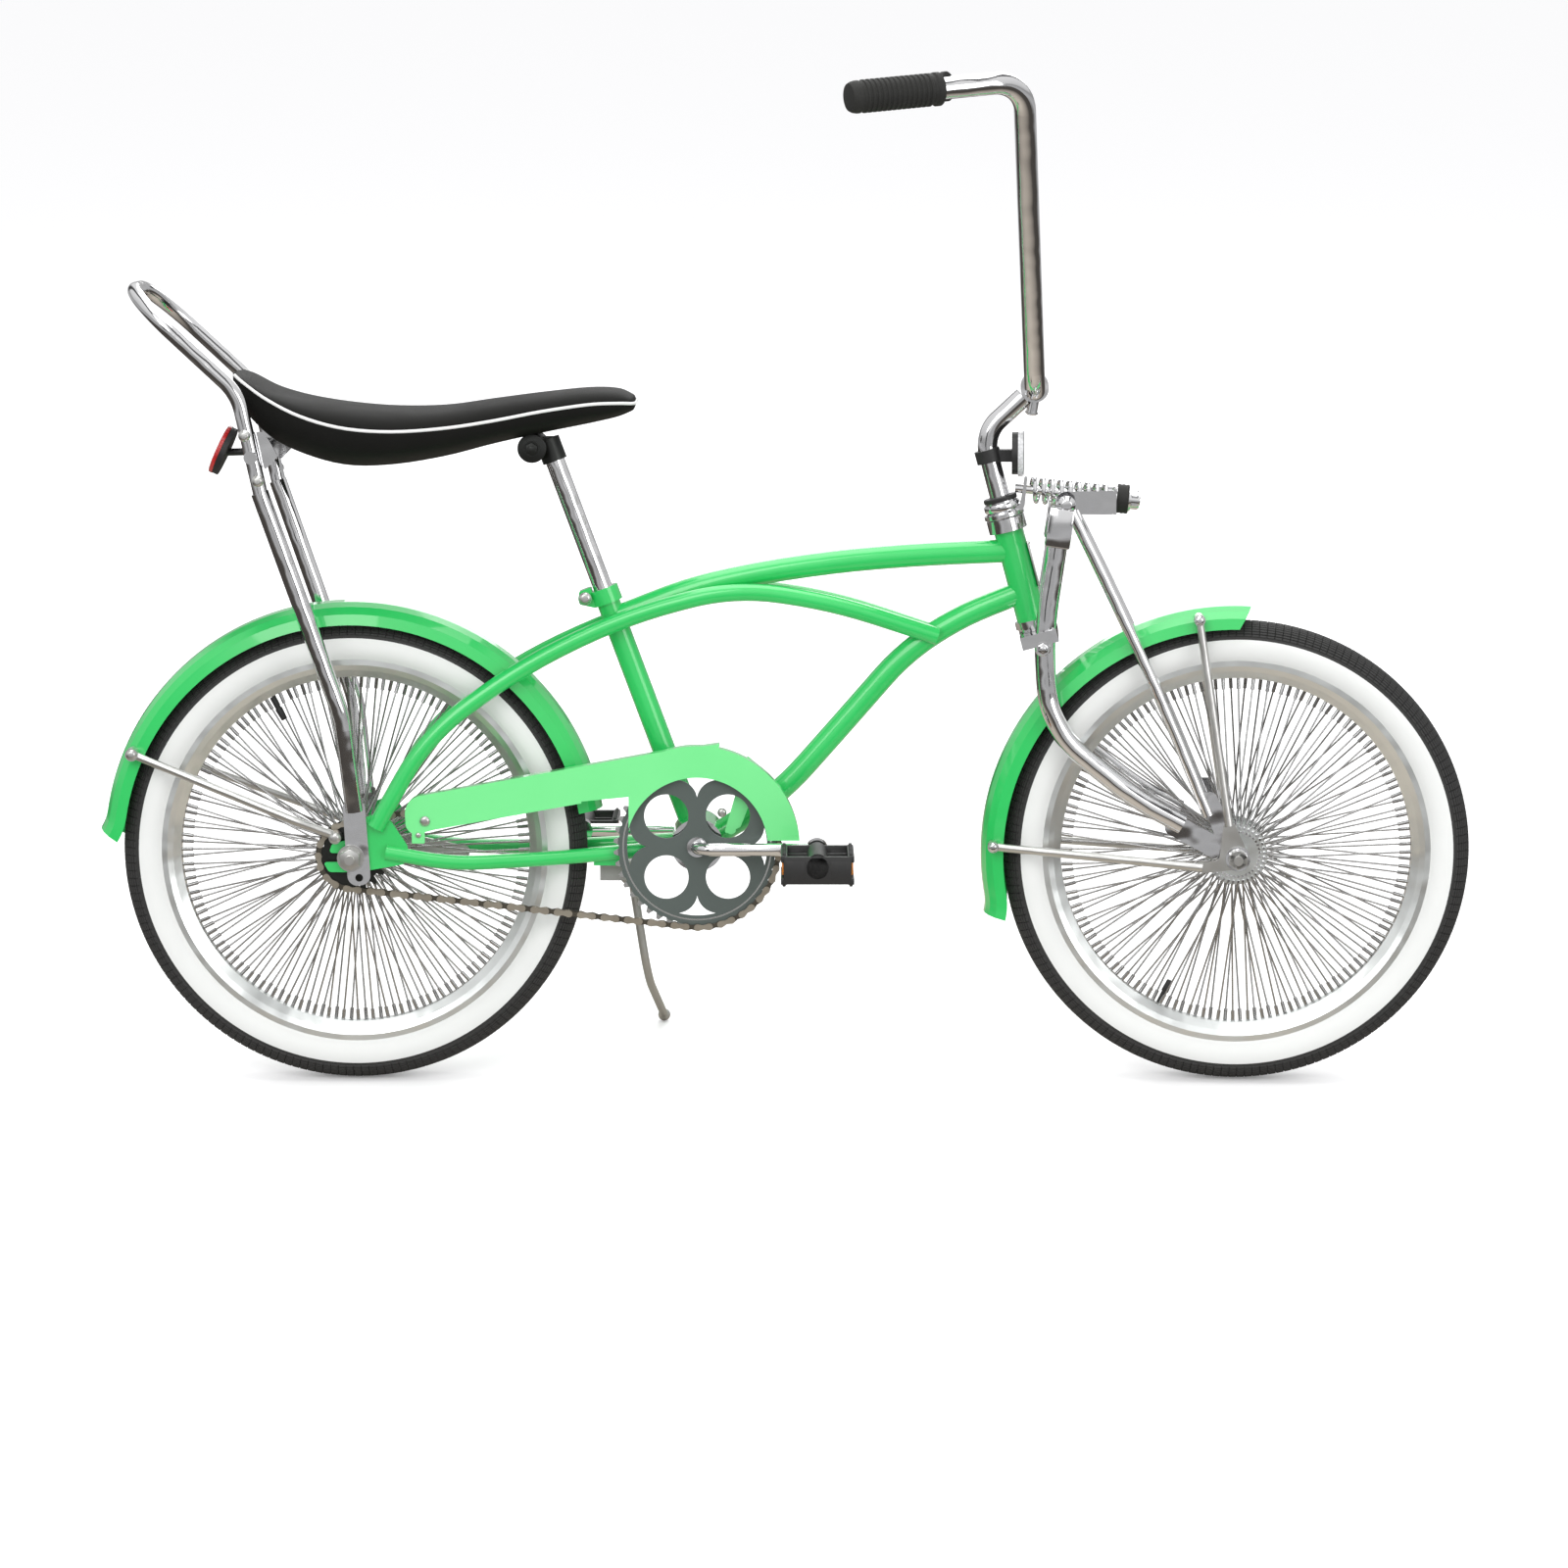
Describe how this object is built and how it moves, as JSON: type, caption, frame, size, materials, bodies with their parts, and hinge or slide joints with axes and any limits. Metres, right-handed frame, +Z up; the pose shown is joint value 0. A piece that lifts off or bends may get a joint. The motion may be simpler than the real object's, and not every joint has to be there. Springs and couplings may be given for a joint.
{
  "type": "chopper bicycle",
  "caption": "Chopper bicycle with camel-back frame, springer fork, ape-hanger bar, banana saddle with sissy bar, whitewall wire wheels and side stand",
  "frame": {"origin": "on the floor, under the middle of the whole bicycle's box as it leans on its side stand", "axes": "+X forward, +Y to the rider's left, +Z up; the bicycle leans 7 degrees to its left"},
  "size_m": [1.4948, 0.7239, 1.1214],
  "materials": {
    "paint_green": "glossy light green paint",
    "chrome": "polished chrome",
    "rim_alloy": "polished alloy",
    "ring_grey": "grey metallic with a bright rim",
    "chain_steel": "oiled steel",
    "black_steel": "black",
    "cast_grey": "cast, satin",
    "whitewall_tyre": "black tread, white side walls",
    "vinyl_black": "black vinyl with white piping",
    "grip_rubber": "black rubber",
    "pedal_plastic": "black with amber reflectors",
    "reflector_red": "red lens in a black back",
    "reflector_clear": "clear lens in a black back"
  },
  "bodies": {
    "front_wheel": {"front_tyre": "whitewall_tyre", "front_rim": "rim_alloy", "front_hub": "chrome", "front_spokes": "chrome"},
    "rear_wheel": {"rear_tyre": "whitewall_tyre", "rear_rim": "rim_alloy", "rear_hub": "chrome", "rear_spokes": "chrome"},
    "frame": {"frame": "paint_green", "headset_cups": "chrome", "bottom_bracket_cups": "chrome", "seat_collar": "chrome", "seat_post": "chrome", "saddle": "vinyl_black", "saddle_clamp": "black_steel", "sissy_hoop": "chrome", "sissy_legs": "chrome", "saddle_bracket": "chrome", "rear_reflector": "reflector_red", "rear_fender": "paint_green", "rear_fender_stays": "chrome", "chain_guard": "paint_green", "chain": "chain_steel", "rear_axle": "chrome", "brake_arm": "chrome", "stand_bracket": "cast_grey"},
    "steering": {"front_fender": "paint_green", "fork_legs": "chrome", "fork_crown": "chrome", "fork_struts": "chrome", "fork_spring": "chrome", "spring_yoke": "chrome", "headset_nuts": "chrome", "stem": "chrome", "handlebar": "chrome", "grips": "grip_rubber", "front_reflector": "reflector_clear", "front_fender_stays": "chrome", "front_axle": "chrome"},
    "crank": {"chainring": "ring_grey", "crank": "chrome"},
    "sprocket": {"sprocket": "black_steel"},
    "right_pedal": {"right_pedal": "pedal_plastic"},
    "left_pedal": {"left_pedal": "pedal_plastic"},
    "stand": {"side_stand": "chrome"}
  },
  "joints": [
    {"name": "steering_turn", "type": "hinge", "parent": "frame", "child": "steering", "pos_m": [0.2439, -0.05845, 0.59998], "axis": [-0.2588, 0.1177, 0.9587], "range_deg": [-57, 63]},
    {"name": "front_wheel_spin", "type": "hinge", "parent": "steering", "child": "front_wheel", "pos_m": [0.4947, -0.10903, 0.25321], "axis": [0.0506, 0.9928, -0.1083], "continuous": true},
    {"name": "rear_wheel_spin", "type": "hinge", "parent": "frame", "child": "rear_wheel", "pos_m": [-0.4691, -0.10114, 0.2523], "axis": [0, 0.9925, -0.1219], "continuous": true},
    {"name": "crank_spin", "type": "hinge", "parent": "frame", "child": "crank", "pos_m": [-0.0941, -0.09992, 0.26222], "axis": [0, 0.9925, -0.1219], "continuous": true},
    {"name": "sprocket_spin", "type": "hinge", "parent": "frame", "child": "sprocket", "pos_m": [-0.4691, -0.10114, 0.2523], "axis": [0, 0.9925, -0.1219], "continuous": true},
    {"name": "right_pedal_spin", "type": "hinge", "parent": "crank", "child": "right_pedal", "pos_m": [0.0359, -0.09992, 0.26222], "axis": [0, 0.9925, -0.1219], "continuous": true},
    {"name": "left_pedal_spin", "type": "hinge", "parent": "crank", "child": "left_pedal", "pos_m": [-0.2241, -0.09992, 0.26222], "axis": [0, 0.9925, -0.1219], "continuous": true},
    {"name": "side_stand_fold", "type": "hinge", "parent": "frame", "child": "stand", "pos_m": [-0.1701, -0.0589, 0.2189], "axis": [0, 0.9998, 0.0175], "range_deg": [0, 95]}
  ],
  "couplings": [
    {"joint": "sprocket_spin", "follows": "crank_spin", "ratio": 2.4444}
  ]
}
